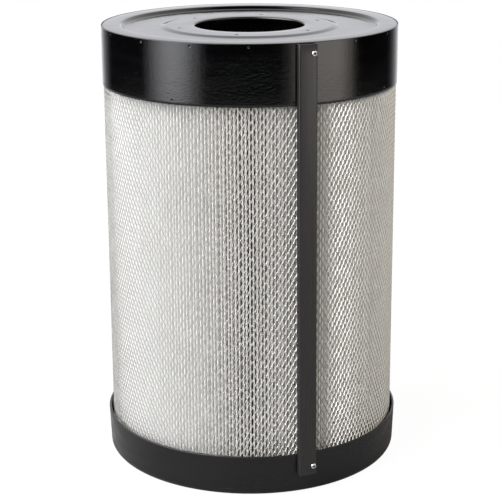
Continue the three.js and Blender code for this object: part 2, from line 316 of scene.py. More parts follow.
def cells(node, where, scale, output="Distance"):
    """Cells, so many a metre: the distance from each cell's middle, or each cell's own colour."""
    return node("TexVoronoi", {"Vector": where, "Scale": scale}).outputs[output]


# %% Sums and mixtures
def spread(node, source, from_low, from_high, low=0.0, high=1.0):
    """Maps a range of a factor onto another range by a smooth step, and holds it there."""
    inputs = {"Value": source, "From Min": from_low, "From Max": from_high}
    inputs |= {"To Min": low, "To Max": high}
    return node("MapRange", inputs, interpolation_type="SMOOTHSTEP").outputs["Result"]


def sums(node, first, second, operation="ADD"):
    """Two numbers or factors joined by one sum."""
    return node("Math", {0: first, 1: second}, operation=operation).outputs["Value"]


def times(node, first, second):
    """One number or factor times another."""
    return sums(node, first, second, "MULTIPLY")


def halves(node, first, second):
    """Half of one factor and half of another."""
    return sums(node, times(node, first, 0.5), times(node, second, 0.5))


def two_colours(node, factor, first, second):
    """A colour between two, by a factor; each is three numbers or another node's colour."""
    inputs = {"Factor": factor}
    for socket, colour in ((6, first), (7, second)):
        linked = isinstance(colour, bpy.types.NodeSocket)
        inputs[socket] = colour if linked else (*colour, 1)
    return node("Mix", inputs, data_type="RGBA").outputs[2]


def bumps(node, height, depth, strength=1.0, under=None):
    """A bump of so many metres at the height's full range, on top of another bump."""
    inputs = {"Height": height, "Distance": depth, "Strength": strength}
    if under is not None:
        inputs["Normal"] = under
    return node("Bump", inputs).outputs["Normal"]


# %% [markdown]
# ## The finishes
# Gloss black paint is almost a mirror: its life is in faint orange peel, a few dust specks and
# soft wipe marks. Moulded plastic is a satin with a fine eroded grain and faint flow marks. The
# guard is zinc-coated steel. The filter sheet is white spun fibre, matt and slightly fuzzy. An
# image could be wrapped round each piece, but a pattern that is worked out from the place in
# space needs no seams and keeps its true size.

# %% Gloss black paint on the cap
PAINT_BLACK = (0.0008, 0.0008, 0.001)
PAINT_DUST = (0.055, 0.054, 0.052)
GLOSS_ROUGHNESS = (0.09, 0.15)  # between the wipe marks, and on them
DUST_DULLS = 0.25  # roughness that full dust adds
SKIRT_TO_TOP = (0.585, 0.594)  # heights in metres where the upright skirt gives way to the top
PEEL_ON_TOP = 0.12  # share of the orange peel that is left on the level top
PEEL_DEPTH = 0.00017


def gloss_paint():
    """Orange peel on a slow ripple, level wipe marks in the gloss, and a little dust.

    The dust is fine specks times cloudy patches: it greys the colour and dulls the gloss.
    """
    material, node, shader = new_finish("cap_gloss_black_paint")
    where = place(node)
    peel = streaks(node, where, 230, 400, 3.0, 0.6)
    peel_share = spread(node, height_of(node, where), *SKIRT_TO_TOP, 1, PEEL_ON_TOP)
    ripple = streaks(node, where, 34, 5)
    wipes = streaks(node, where, 9, 70, 4.0)
    specks = spread(node, grain(node, where, 900, 1.0), 0.70, 0.76)
    patches = spread(node, grain(node, where, 25), 0.5, 0.65, 0, 0.8)
    dust = times(node, specks, patches)
    link(shader, "Base Color", two_colours(node, dust, PAINT_BLACK, PAINT_DUST))
    clean = spread(node, wipes, 0.35, 0.7, *GLOSS_ROUGHNESS)
    link(shader, "Roughness", sums(node, clean, times(node, dust, DUST_DULLS)))
    low = bumps(node, ripple, 0.0005, 0.35)
    link(shader, "Normal", bumps(node, times(node, peel, peel_share), PEEL_DEPTH, 0.8, low))
    set_values(shader, IOR=1.5)
    return material


# %% Satin black plastic on the pan
PLASTIC_BLACK = (0.003, 0.003, 0.0034)
PLASTIC_WORN = (0.032, 0.031, 0.03)
WORN_FOOT = (0.004, 0.022)  # heights in metres where the wear at the foot starts to fade and ends
WEAR_ABOVE = 0.12  # share of the wear that is left higher up


def moulded_plastic():
    """A fine eroded grain over slow flow marks, with pale level scuffs near the foot."""
    material, node, shader = new_finish("pan_satin_black_plastic")
    where = place(node)
    eroded = grain(node, where, 1500, 2.0, 0.7)
    flow = streaks(node, where, 10, 42)
    scuffs = spread(node, streaks(node, where, 30, 260, 5.0, 0.7), 0.63, 0.72)
    near_foot = spread(node, height_of(node, where), *WORN_FOOT, 1, WEAR_ABOVE)
    worn = times(node, scuffs, near_foot)
    link(shader, "Base Color", two_colours(node, worn, PLASTIC_BLACK, PLASTIC_WORN))
    satin = spread(node, flow, 0.3, 0.7, 0.24, 0.38)
    link(shader, "Roughness", sums(node, satin, times(node, worn, 0.25)))
    low = bumps(node, flow, 0.0012, 0.5)
    link(shader, "Normal", bumps(node, eroded, 0.00005, 0.5, low))
    set_values(shader, IOR=1.42)
    return material


# %% Semi-gloss black paint on the straps and the end rings
STRAP_BLACK = (0.013, 0.0125, 0.012)
CHIPPED_GREY = (0.10, 0.10, 0.098)


def strap_paint():
    """Fine orange peel over the long upright lines of the rolled steel, and tiny chips."""
    material, node, shader = new_finish("strap_semi_gloss_black_paint")
    where = place(node)
    peel = grain(node, where, 600, 2.0)
    rolled = streaks(node, where, 260, 8)
    chips = spread(node, grain(node, where, 420, 3.0, 0.75), 0.73, 0.76)
    link(shader, "Base Color", two_colours(node, chips, STRAP_BLACK, CHIPPED_GREY))
    gloss = spread(node, rolled, 0.3, 0.7, 0.25, 0.32)
    link(shader, "Roughness", sums(node, gloss, times(node, chips, 0.2)))
    low = bumps(node, rolled, 0.00002, 0.3)
    link(shader, "Normal", bumps(node, peel, 0.00003, 0.5, low))
    set_values(shader, IOR=1.45)
    return material


# %% Zinc-coated steel, for the guard, the liner and the fasteners
def zinc(name, light, dark, rough_low, rough_high, spangle_scale):
    """Zinc with spangle: cells of slightly different grey, and faint white bloom."""
    material, node, shader = new_finish(name)
    where = place(node)
    spangle = node("SeparateColor", {"Color": cells(node, where, spangle_scale, "Color")})
    bloom = grain(node, where, 60, 4.0)
    tone = halves(node, spangle.outputs["Red"], bloom)
    link(shader, "Base Color", two_colours(node, tone, dark, light))
    link(shader, "Roughness", spread(node, bloom, 0.3, 0.7, rough_low, rough_high))
    link(shader, "Normal", bumps(node, grain(node, where, 2500, 2.0), 0.00003, 0.5))
    set_values(shader, Metallic=1.0)
    return material


# %% White spun filter sheet, with dust and painted shade on the inner tips of its pleats
SHEET_SHADE = (0.85, 0.85, 0.835)
SHEET_WHITE = (0.95, 0.95, 0.94)
INNER_DUST_AND_SHADE = (0.11, 0.09, 0.07)
INNER_DUST_AND_SHADE_REACH = (0.147, 0.162)  # metres from the axis where the dust and painted shade are full and where they end


def filter_sheet():
    """Upright fibres with small bond pits. Dust and painted shade darken the sheet towards the
    axis, deep inside the drum.
    """
    material, node, shader = new_finish("white_filter_sheet")
    where = place(node)
    fibres = grain(node, stretched(node, where, 1, 0.3), 2600, 4.0, 0.75)
    clouds = grain(node, where, 22)
    pits = spread(node, cells(node, where, 700), 0.1, 0.5)
    clean = two_colours(node, halves(node, fibres, clouds), SHEET_SHADE, SHEET_WHITE)
    level = stretched(node, where, 1, 0)
    radius = node("VectorMath", {0: level}, operation="LENGTH").outputs["Value"]
    # dust and painted shade: dark brown on the inner tips, where little light reaches inside the
    # drum
    dust_and_shade = spread(node, radius, *INNER_DUST_AND_SHADE_REACH, 1, 0)
    link(shader, "Base Color", two_colours(node, dust_and_shade, clean, INNER_DUST_AND_SHADE))
    low = bumps(node, pits, 0.00008, 0.5)
    link(shader, "Normal", bumps(node, fibres, 0.00012, 0.7, low))
    set_values(shader, Roughness=0.88, Sheen_Weight=0.15, Sheen_Roughness=0.5)
    return material


# %% Foam, resin and the painted shade in the screws' sockets
def foam_rubber():
    """Small open cells, sunk at their middles by the bump: painted shade darkens each cell's
    middle, and its walls are a little paler.
    """
    material, node, shader = new_finish("black_foam_rubber")
    from_middle = cells(node, place(node), 1400)
    # painted shade in the pores: darkest at each cell's middle, where the bump sinks
    tone = spread(node, from_middle, 0.0, 0.6)
    pore_shaded_colour = two_colours(node, tone, (0.008, 0.008, 0.008), (0.035, 0.035, 0.034))
    link(shader, "Base Color", pore_shaded_colour)
    link(shader, "Normal", bumps(node, from_middle, 0.0003, 0.8))
    set_values(shader, Roughness=0.85)
    return material


def resin_and_socket_shade(name, low, high):
    """Slow flow marks in the colour, the gloss and the height. It makes the cast resin, and the
    near-black painted shade inside the screws' sockets.
    """
    material, node, shader = new_finish(name)
    flow = grain(node, place(node), 90)
    link(shader, "Base Color", two_colours(node, flow, low, high))
    link(shader, "Roughness", spread(node, flow, 0.3, 0.7, 0.3, 0.5))
    link(shader, "Normal", bumps(node, flow, 0.0006, 0.5))
    return material


# %% Make the finishes
cap_finish = gloss_paint()
pan_finish = moulded_plastic()
strap_finish = strap_paint()
guard_finish = zinc(
    "guard_zinc_mesh", light=(0.68, 0.675, 0.65), dark=(0.47, 0.465, 0.445),
    rough_low=0.38, rough_high=0.52, spangle_scale=300,
)
# The liner's colour is far darker than zinc: partly a dark liner, partly painted shade inside the
# drum, so the inlet hole looks black.
liner_dark_and_shade_finish = zinc(
    "liner_dark_zinc_and_shade", light=(0.20, 0.195, 0.185), dark=(0.12, 0.117, 0.11),
    rough_low=0.45, rough_high=0.6, spangle_scale=200,
)
fastener_finish = zinc(
    "bright_zinc_fastener", light=(0.74, 0.75, 0.76), dark=(0.56, 0.57, 0.59),
    rough_low=0.2, rough_high=0.32, spangle_scale=900,
)
sheet_finish = filter_sheet()
foam_finish = foam_rubber()
resin_finish = resin_and_socket_shade("grey_cast_resin", (0.03, 0.03, 0.033), (0.07, 0.07, 0.075))
# near-black painted shade for the hollow of each screw's socket
socket_shade_finish = resin_and_socket_shade("socket_painted_shade", (0.006, 0.006, 0.006), (0.02, 0.019, 0.018))
print("finishes:", len(bpy.data.materials))

# %% [markdown]
# ## The camera and the studio
# The camera stands a little above the cap and to the left of the front strap. A black gloss
# surface shows whatever stands round it, so the studio is built for its reflections. Area lamps
# could make them, but their edges would be hard, so all the light is painted into the world by
# direction. Low down, a soft box on the left makes the broad streak, a wider and warmer one on
# the right makes the pale band, and the rest is dark. Higher up, a lamp on the left lights the
# mesh, and the bright sky behind turns the flat cap pale, because a flat surface that is seen at
# a glancing angle mirrors what stands behind it. The lens shift is small, so that the object
# stays in the middle when it is seen from other sides.

# %% Camera
VIEW_AZIMUTH = math.radians(-20.3)
VIEW_DROP = math.radians(15.086)
VIEW_ROLL = math.radians(-0.325)
VIEW_DISTANCE = 1.977
VIEW_HEIGHT = 0.8699
LENS_MM = 105.6
LENS_SHIFT = (-0.0012, -0.08)

camera_data = bpy.data.cameras.new("camera")
camera_data.sensor_width = 36
camera_data.lens = LENS_MM
camera_data.shift_x, camera_data.shift_y = LENS_SHIFT
camera_data.clip_start, camera_data.clip_end = 0.01, 100
camera = bpy.data.objects.new("camera", camera_data)
bpy.context.scene.collection.objects.link(camera)
towards_camera = Vector((math.sin(VIEW_AZIMUTH), -math.cos(VIEW_AZIMUTH), 0))
turn = Matrix.Rotation(VIEW_AZIMUTH, 4, "Z") @ Matrix.Rotation(math.pi / 2 - VIEW_DROP, 4, "X")
stand = Matrix.Translation(towards_camera * VIEW_DISTANCE + Vector((0, 0, VIEW_HEIGHT)))
camera.matrix_world = stand @ turn @ Matrix.Rotation(VIEW_ROLL, 4, "Z")
bpy.context.scene.camera = camera
bpy.context.scene.view_settings.view_transform = "Standard"
print("camera at", [round(v, 3) for v in camera.matrix_world.translation])


# %% Where the light is, and how strong
# degrees to the right of the camera where each soft box starts, is full, fades and ends; level
LEFT_BOX = (-90, -61, -59, -31, 4.1)
HIGH_LAMP = (-120, -88, -48, -10, 7.9)
RIGHT_BOX = (22, 54, 68, 92, 2.7)
WALL_BEHIND = (132, 178, 0.0, 1.3)  # degrees where the low wall starts and is full; both levels
# heights are the upward part of a direction: 0 is level and 1 is straight up
LOW_BOXES_FADE = (0.15, 0.02)  # the low boxes end at the first height, and are full at the second
HORIZON = (0.0, 0.16)  # between these the sky takes over from the low part
HIGH_START = (0.12, 0.35)  # the high lamp and the front sky start, and are full
HIGH_END = (0.98, 0.85)  # they end at the first height, and are full at the second
# the part towards the camera is -1 right behind; between these the back sky gives way to the front
BACK_TO_SIDE = (-0.88, -0.45)
LOW_DARK = 0.01
SKY_BEHIND = 1.15
SKY_FRONT = 1.1
COOL_TINT = (0.98, 0.985, 1.025)
WARM_TINT = (1.05, 0.99, 0.90)  # the right box and the front sky
print("levels of the left box, right box and lamp:", LEFT_BOX[4], RIGHT_BOX[4], HIGH_LAMP[4])


# %% The studio's light, by direction
def studio_world():
    """Light by direction: the angle round the axis from the camera, and the height.

    A soft box is a rise over the angle, times a fall, times its level. The low boxes fade out
    just above the horizon, so that only upright gloss mirrors them, and the high lamp lies above
    them. The room is the dark low part with its wall behind, mixed by height with the sky. A
    camera ray sees plain white instead of all this.
    """
    world = bpy.data.worlds.new("studio")
    world.use_nodes = True
    world.node_tree.nodes.clear()
    node = node_maker(world.node_tree)
    direction = node("TexCoord").outputs["Generated"]

    def along(axis):
        parts = {0: direction, 1: axis}
        return node("VectorMath", parts, operation="DOT_PRODUCT").outputs["Value"]

    rightwards = Vector((math.cos(VIEW_AZIMUTH), math.sin(VIEW_AZIMUTH), 0))
    near = along(towards_camera)
    height = height_of(node, direction)
    angle = times(node, sums(node, along(rightwards), near, "ARCTAN2"), 180 / math.pi)

    def soft_box(start, full_start, full_end, end, level):
        rise = spread(node, angle, start, full_start)
        fall = spread(node, angle, full_end, end, 1, 0)
        return times(node, times(node, rise, fall), level)

    either_way = node("Math", {0: angle}, operation="ABSOLUTE").outputs[0]
    low_part = sums(node, spread(node, either_way, *WALL_BEHIND), LOW_DARK)
    sky_behind = spread(node, near, *BACK_TO_SIDE, SKY_BEHIND, 0)
    above = spread(node, height, *HORIZON)
    room = node("Mix", {"Factor": above, 2: low_part, 3: sky_behind}).outputs[0]

    low_band = spread(node, height, *LOW_BOXES_FADE)
    high_band = times(node, spread(node, height, *HIGH_START), spread(node, height, *HIGH_END))
    left_box = times(node, soft_box(*LEFT_BOX), low_band)
    right_box = times(node, soft_box(*RIGHT_BOX), low_band)
    high_lamp = times(node, soft_box(*HIGH_LAMP), high_band)
    sky_front = times(node, spread(node, near, *BACK_TO_SIDE, 0, SKY_FRONT), high_band)

    def tinted(level, tint):
        keys = ("Red", "Green", "Blue")
        shares = {key: times(node, level, share) for key, share in zip(keys, tint)}
        return node("CombineColor", shares).outputs[0]

    cool = tinted(sums(node, room, sums(node, left_box, high_lamp)), COOL_TINT)
    warm = tinted(sums(node, right_box, sky_front), WARM_TINT)
    glow = node("VectorMath", {0: cool, 1: warm}, operation="ADD").outputs[0]
    camera_ray = node("LightPath").outputs["Is Camera Ray"]
    seen = two_colours(node, camera_ray, glow, (1, 1, 1))
    background = node("Background", {"Color": seen}).outputs["Background"]
    node("OutputWorld", {"Surface": background})
    return world


bpy.context.scene.world = studio_world()
print("nodes in the studio's light:", len(bpy.context.scene.world.node_tree.nodes))

# %% Floor
FLOOR_RADIUS = 2500.0
FLOOR_SIDES = 96
FLOOR_DROP = 0.2  # how far the floor lies below the pan's foot
FLOOR_WHITE = 0.85  # share of plain white in what a camera ray sees
FLOOR_WHITE_LEVEL = 1.12


def studio_floor():
    """A round floor: middle grey where it lights the canister, and nearly white to the camera.

    A camera ray sees a mixture of the lit grey and a plain white glow, so that the floor runs
    into the white round it. Every other ray sees the grey.
    """
    material, node, shader = new_finish("pale_floor")
    cloud = grain(node, place(node), 1.5, 2.0)
    link(shader, "Base Color", two_colours(node, cloud, (0.28, 0.28, 0.285), (0.31, 0.31, 0.31)))
    set_values(shader, Roughness=0.9, Specular_IOR_Level=0.0)
    white = node("Emission", {"Color": (1, 1, 1, 1), "Strength": FLOOR_WHITE_LEVEL}).outputs[0]
    seen = times(node, node("LightPath").outputs["Is Camera Ray"], FLOOR_WHITE)
    both = node("MixShader", {0: seen, 1: shader.outputs[0], 2: white})
    output = next(n for n in material.node_tree.nodes if n.type == "OUTPUT_MATERIAL")
    material.node_tree.links.new(both.outputs[0], output.inputs["Surface"])
    points = around_axis(FLOOR_RADIUS, directions(FLOOR_SIDES), -FLOOR_DROP)
    floor = make_piece("studio_floor", points, np.arange(FLOOR_SIDES)[None, :])
    floor.data.materials.append(material)
    floor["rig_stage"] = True
    return floor


studio_floor()
print("floor radius in m:", FLOOR_RADIUS * MM)

# %% [markdown]
# ## The cap's pressed disc
# A press forms the disc from one sheet: a rolled rim, a sloping step down to the recess, a low
# step up to the platform, and a turned-down lip round the inlet. It could be modelled flat and
# given thickness by a Solidify modifier, but an outline of both faces turned about the axis gives
# every bend its true inner and outer radius. The flat band that holds the six screw holes is left
# out of the turning and laid as its own grid, so that real holes can be opened in it.

# %% The disc's outline
DISC_SHEET = 1.2
RIM_WIDTH = 25.0
RECESS_DEPTH = 5.0
RECESS_SLOPE = 5.0
PLATFORM_RADIUS = 112.0
PLATFORM_RISE = 2.0
PLATFORM_SLOPE = 8.0
INLET_RADIUS = 74.0
INLET_LIP = 5.0
HOLE_BAND = (91.0, 107.0)  # radii of the flat band that holds the screw holes
RISE_INSET = 0.15  # the underside's corners stand this far in at the platform's rise, and
SLOPE_INSET = 0.4  # this far out at the recess's slope, to keep the sheet's thickness there

recess_outer = disc_radius - RIM_WIDTH
recess_floor = cap_top - RECESS_DEPTH
platform_top = recess_floor + PLATFORM_RISE


def disc_outline():
    """Both faces of the disc as one closed outline, anticlockwise from the flange's foot."""
    t = DISC_SHEET
    band_in, band_out = HOLE_BAND
    slope_foot = recess_outer - RECESS_SLOPE
    rise_foot = PLATFORM_RADIUS + PLATFORM_SLOPE
    upper = [
        (disc_radius, flange_foot, 0.3),
        (disc_radius, cap_top, 2.2),
        (recess_outer, cap_top, 5),
        (slope_foot, recess_floor, 7),
        (rise_foot, recess_floor, 16),
        (PLATFORM_RADIUS, platform_top, 16),
        (band_out, platform_top),
        (band_in, platform_top),
        (INLET_RADIUS, platform_top, 3),
        (INLET_RADIUS, platform_top - INLET_LIP, 0.3),
    ]
    lower = [
        (INLET_RADIUS + t, platform_top - INLET_LIP, 0.3),
        (INLET_RADIUS + t, platform_top - t, 1.8),
        (band_in, platform_top - t),
        (band_out, platform_top - t),
        (PLATFORM_RADIUS - RISE_INSET, platform_top - t, 16),
        (rise_foot - RISE_INSET, recess_floor - t, 16),
        (slope_foot + SLOPE_INSET, recess_floor - t, 7),
        (recess_outer + SLOPE_INSET, cap_top - t, 5),
        (disc_radius - t, cap_top - t, 1.0),
        (disc_radius - t, flange_foot, 0.3),
    ]
    return rounded(upper + lower, steps=7)


# %% The band with its six holes
HOLE_COUNT = 6
HOLE_RADIUS = 2.2
HOLE_DISH = 0.5  # the punch leaves a small slope round each hole, this wide and this deep
HOLE_CIRCLE = 99.0
DISC_SIDES = 360
PATCH_HALF = 5  # half the patch's width, in steps of the disc's sides
PATCH_RINGS = 5  # from the patch's border in to the hole's rim
BAND_CELLS = 8


def face_heights(points, quads):
    """The Z part of each quad's normal, to see which way a flat face looks."""
    a, b, c = (points[quads[:, k]] for k in range(3))
    return np.cross(b - a, c - a)[:, 2]


def holed_band(height, face_up):
    """A flat ring at one height with a square-to-round patch at each hole.

    The ring is a grid of radius by angle. Round each hole a patch of cells is left out, and the
    patch's border is drawn in to a circle just outside the hole: border times (1 - t) plus
    circle times t. A last ring is the hole's rim, sunk by the dish on the upper face. Returns
    points, quads and the holes' rims.
    """
    radii = np.linspace(*HOLE_BAND, BAND_CELLS + 1)
    angles = directions(DISC_SIDES)
    flat = np.stack([np.outer(np.cos(angles), radii), np.outer(np.sin(angles), radii)], -1)
    quads = grid_quads(DISC_SIDES, BAND_CELLS + 1, close_rows=True)
    columns = np.repeat(np.arange(DISC_SIDES), BAND_CELLS)
    step = DISC_SIDES // HOLE_COUNT
    first = (-DISC_SIDES // 4 + step // 2) % step  # the holes stand half a step from the front
    from_hole = (columns - first + PATCH_HALF) % step
    quads = quads[from_hole >= 2 * PATCH_HALF]
    points, faces, rims = [flat.reshape(-1, 2)], [quads], []
    count = len(points[0])
    for middle in first + step * np.arange(HOLE_COUNT):
        centre = HOLE_CIRCLE * np.array([math.cos(angles[middle]), math.sin(angles[middle])])
        across = np.arange(middle - PATCH_HALF, middle + PATCH_HALF + 1) % DISC_SIDES
        along = np.arange(BAND_CELLS + 1)
        border = np.concatenate([
            flat[across[:-1], 0],
            flat[across[-1], along[:-1]],
            flat[across[:0:-1], BAND_CELLS],
            flat[across[0], along[:0:-1]],
        ])
        away = border - centre
        outwards = away / np.linalg.norm(away, axis=1)[:, None]
        circle = centre + (HOLE_RADIUS + HOLE_DISH) * outwards
        steps = np.linspace(0, 1, PATCH_RINGS - 1)[:, None, None]
        rings = border * (1 - steps) + circle * steps
        rings = np.concatenate([rings, (centre + HOLE_RADIUS * outwards)[None]])
        around = len(border)
        faces.append(grid_quads(PATCH_RINGS, around, close_columns=True)[:, ::-1] + count)
        rims.append(count + (PATCH_RINGS - 1) * around + np.arange(around))
        points.append(rings.reshape(-1, 2))
        count += PATCH_RINGS * around
    points = np.concatenate(points)
    points = np.column_stack([points, np.full(len(points), height)])
    if face_up:
        points[np.concatenate(rims), 2] -= HOLE_DISH
    faces = np.concatenate(faces)
    if (face_heights(points, faces).mean() > 0) != face_up:
        faces = faces[:, ::-1]
    return points, faces, rims


# %% Put the disc together
def pressed_disc():
    """The turned outline without its flat band, the band's two faces, and the holes' walls."""
    outline = disc_outline()
    points = turned_points(outline, directions(DISC_SIDES))
    quads = grid_quads(DISC_SIDES, len(outline), True, True)
    radius = outline[:, 0]
    on_band = (np.abs(radius - HOLE_BAND[0]) < 1e-6) | (np.abs(radius - HOLE_BAND[1]) < 1e-6)
    both_ends = on_band & np.roll(on_band, -1)
    column = np.tile(np.arange(len(radius)), DISC_SIDES)
    quads = quads[~both_ends[column]]
    top, top_faces, top_rims = holed_band(platform_top, True)
    low, low_faces, low_rims = holed_band(platform_top - DISC_SHEET, False)
    shift = len(points)
    deeper = shift + len(top)
    walls = []
    for upper, under in zip(top_rims, low_rims):
        upper, under = upper + shift, under + deeper
        walls.append(np.stack([upper, np.roll(upper, -1), np.roll(under, -1), under], 1))
    faces = np.concatenate([quads, top_faces + shift, low_faces + deeper, *walls])
    return make_piece("cap_pressed_disc", np.concatenate([points, top, low]), faces, 40)


finish_piece(pressed_disc(), cap_finish, "cap_paint", "cap_top_disc")

# %% [markdown]
# ## The cap's skirt
# The skirt is a rolled band with a folded hem at its foot. The disc's flange is staked to it: a
# punch has left a row of small pits just under the top edge, and a few near the hem. The pits are
# real dents in the surface. To keep the mesh light, its grid lines crowd together only where the
# pits are.

# %% Stake marks
STAKES_ABOVE = 17
STAKES_BELOW = 8
STAKE_DROP = 4.3  # from the top edge to the upper row
STAKE_RISE = 5.2  # from the foot to the lower row
STAKE_RADIUS = 1.7
STAKE_DEPTH = 0.55
BOWL_POWER = 1.2
RIDGE = (1.15, 0.22, 0.05)  # the raised ring's place and width in stake radii, and its height
FRONT = -math.pi / 2  # direction of the front strap
upper_stakes = FRONT + math.radians(21.2) * np.arange(STAKES_ABOVE)
lower_stakes = FRONT - math.radians(49.5) + directions(STAKES_BELOW)


def stake_dents(angle, height, stakes, row_height):
    """Depth of a row of round punch marks: a bowl with a faint raised ring round it.

    With d the distance from the mark's middle in stake radii, the bowl is (1 - d squared) to a
    power, and the ring is a bell curve over d.
    """
    apart = (angle[:, None] - stakes[None, :] + math.pi) % (2 * math.pi) - math.pi
    nearest = np.abs(apart).min(1) * cap_radius
    distance = np.hypot(nearest[:, None], (height - row_height)[None, :]) / STAKE_RADIUS
    bowl = STAKE_DEPTH * np.clip(1 - distance**2, 0, None) ** BOWL_POWER
    place_of_ridge, width, rise = RIDGE
    return bowl - rise * np.exp(-(((distance - place_of_ridge) / width) ** 2))


print("stake marks:", len(upper_stakes), "above and", len(lower_stakes), "below")


# %% Skirt
SKIRT_WALL = 1.0
SKIRT_EDGE = SKIRT_WALL / 2  # both edges are fully round
HEM_RISE = 2.2  # the hem's groove: its height above the foot, its width and its depth
HEM_WIDTH = 0.35
HEM_DEPTH = 0.15
FINE_STEP = 0.45  # between the grid's lines at a mark
FINE_ROUND = 3.2  # how far the fine lines reach from a mark, round the skirt and up and down
FINE_UP = 2.6
COARSE_SIDES = 220
COARSE_RISE = 6.0


def crowded(centres, low, high, reach, fine, coarse):
    """Grid lines from low to high: fine steps within reach of a centre, coarse ones elsewhere."""
    lines = [np.linspace(low, high, max(2, round((high - low) / coarse) + 1))]
    for centre in centres:
        lines.append(centre + np.arange(-reach, reach + fine / 2, fine))
    lines = np.unique(np.round(np.concatenate(lines), 7))
    lines = lines[(lines >= low - 1e-9) & (lines <= high + 1e-9)]
    keep = np.concatenate([[True], np.diff(lines) > fine * 0.45])
    keep[-1] = True
    return lines[keep]


def staked_skirt():
    """Outer face: radius = cap radius - dents - hem groove. The inner face is a plain cylinder."""
    marks = np.concatenate([upper_stakes, lower_stakes]) % (2 * math.pi)
    reach, fine = FINE_ROUND / cap_radius, FINE_STEP / cap_radius
    angles = crowded(marks, 0, 2 * math.pi, reach, fine, 2 * math.pi / COARSE_SIDES)[:-1]
    rows = [cap_top - STAKE_DROP, skirt_foot + STAKE_RISE]
    ends = skirt_foot + SKIRT_EDGE, cap_top - SKIRT_EDGE
    heights = crowded(rows, *ends, FINE_UP, FINE_STEP, COARSE_RISE)
    dents = stake_dents(angles, heights, upper_stakes, rows[0])
    dents = dents + stake_dents(angles, heights, lower_stakes, rows[1])
    hem = HEM_DEPTH * np.exp(-(((heights - skirt_foot - HEM_RISE) / HEM_WIDTH) ** 2))
    outer = cap_radius - np.clip(dents + hem[None, :], 0, None)
    turns = np.radians([80, 60, 30])
    edge, rise = SKIRT_EDGE * np.cos(turns), SKIRT_EDGE * np.sin(turns)
    wall_in = cap_radius - SKIRT_WALL
    edge_in, edge_out = wall_in + SKIRT_EDGE, cap_radius - SKIRT_EDGE
    foot_r = np.concatenate([[wall_in], edge_in - edge[::-1], edge_out + edge])
    foot_z = ends[0] - np.concatenate([[0], rise[::-1], rise])
    top_r = np.concatenate([edge_out + edge[::-1], edge_in - edge, [wall_in]])
    top_z = ends[1] + np.concatenate([rise[::-1], rise, [0]])
    radius = np.concatenate([
        np.broadcast_to(foot_r, (len(angles), len(foot_r))),
        outer,
        np.broadcast_to(top_r, (len(angles), len(top_r))),
    ], 1)
    height = np.concatenate([foot_z, heights, top_z])
    points = around_axis(radius, angles[:, None], height)
    quads = grid_quads(len(angles), len(height), True, True)
    return make_piece("cap_staked_skirt", points, quads, 40)


finish_piece(staked_skirt(), cap_finish, "cap_paint", "cap_skirt_band")

# %% [markdown]
# ## The pan
# The pan is moulded, so its wall has draft, its foot is well rounded, and every edge has a small
# radius.

# %% Pan
PAN_WALL = 3.0
PAN_FLOOR = 3.0
PAN_DRAFT = 2.2
PAN_CORNER = 8.0
GUARD_SEAT = 8.0


def pan_outline():
    """Half the pan's section, from the axis out along the foot, over the lip and back inside."""
    foot = pan_lip_radius - PAN_DRAFT
    seat_in = ring_radius + GAP
    return rounded([
        (0, 0),
        (foot, 0, PAN_CORNER),
        (pan_lip_radius, pan_height, 1.1),
        (pan_lip_radius - PAN_WALL, pan_height, 1.1),
        (foot - PAN_WALL, GUARD_SEAT, 1.0),
        (seat_in, GUARD_SEAT, 0.6),
        (seat_in, PAN_FLOOR, 1.0),
        (0, PAN_FLOOR),
    ], steps=8)


finish_piece(turned_piece("moulded_pan", pan_outline(), 320), pan_finish, "pan_plastic", "base_pan")

# %% [markdown]
# ## Expanded metal
# Expanded metal is one sheet, slit in rows and pulled open. What is left is a set of ribbons that
# zigzag from top to bottom and join their neighbours at every turn. Each ribbon is tilted like a
# louvre, which is why the mesh looks different from the left and from the right. The ribbons are
# computed all at once: ribbon number by turning point by corner of the section. A height map on a
# plain tube would be far lighter, but light has to pass through the openings.

# %% Ribbons round a cylinder
BOND_SHARE = 0.47  # a little under half a strand's width, so that joined neighbours overlap


def expanded_metal(name, radius, foot, top, start_angle, end_angle, columns, pitch, strand):
    """Expanded metal between two angles, from strands of (width, thickness, tilt).

    Ribbon k lies (k + 1/2) half-columns from the start. At each turning point it meets a
    neighbour, and the two lie side by side in one tilted plane. So the ribbon stands a quarter
    column to one side, less the bond share of its width, and that share times the sine of the
    tilt further out or in. The section is a rectangle, width by thickness, turned by the tilt.
    """
    width, sheet, tilt = strand
    column = (end_angle - start_angle) / columns
    ribbons = 2 * columns
    turns = max(2, round((top - foot) / (pitch / 2))) + 1
    height = np.linspace(foot, top, turns)
    k = np.arange(ribbons)[:, None]
    j = np.arange(turns)[None, :]
    turn = np.where((k + j) % 2 == 0, 1, -1)
    c, s = math.cos(tilt), math.sin(tilt)
    bond = BOND_SHARE * width
    middle = start_angle + (k + 0.5) * column / 2 + turn * (column / 4 - bond * c / radius)
    reach = radius - turn * bond * s
    corners = np.array([[-0.5, -0.5], [0.5, -0.5], [0.5, 0.5], [-0.5, 0.5]]) * [width, sheet]
    sideways = corners[:, 0] * c - corners[:, 1] * s
    outward = corners[:, 0] * s + corners[:, 1] * c
    angle = middle[:, :, None] + sideways / radius
    distance = reach[:, :, None] + outward
    points = around_axis(distance, angle, height[None, :, None])
    one = grid_quads(turns, 4, close_columns=True)
    ends = np.array([[3, 2, 1, 0], [0, 1, 2, 3]])
    ends[0] += (turns - 1) * 4
    one = np.concatenate([one, ends])
    quads = (one[None, :, :] + (np.arange(ribbons) * turns * 4)[:, None, None]).reshape(-1, 4)
    return make_piece(name, points, quads, 30, weld=False)


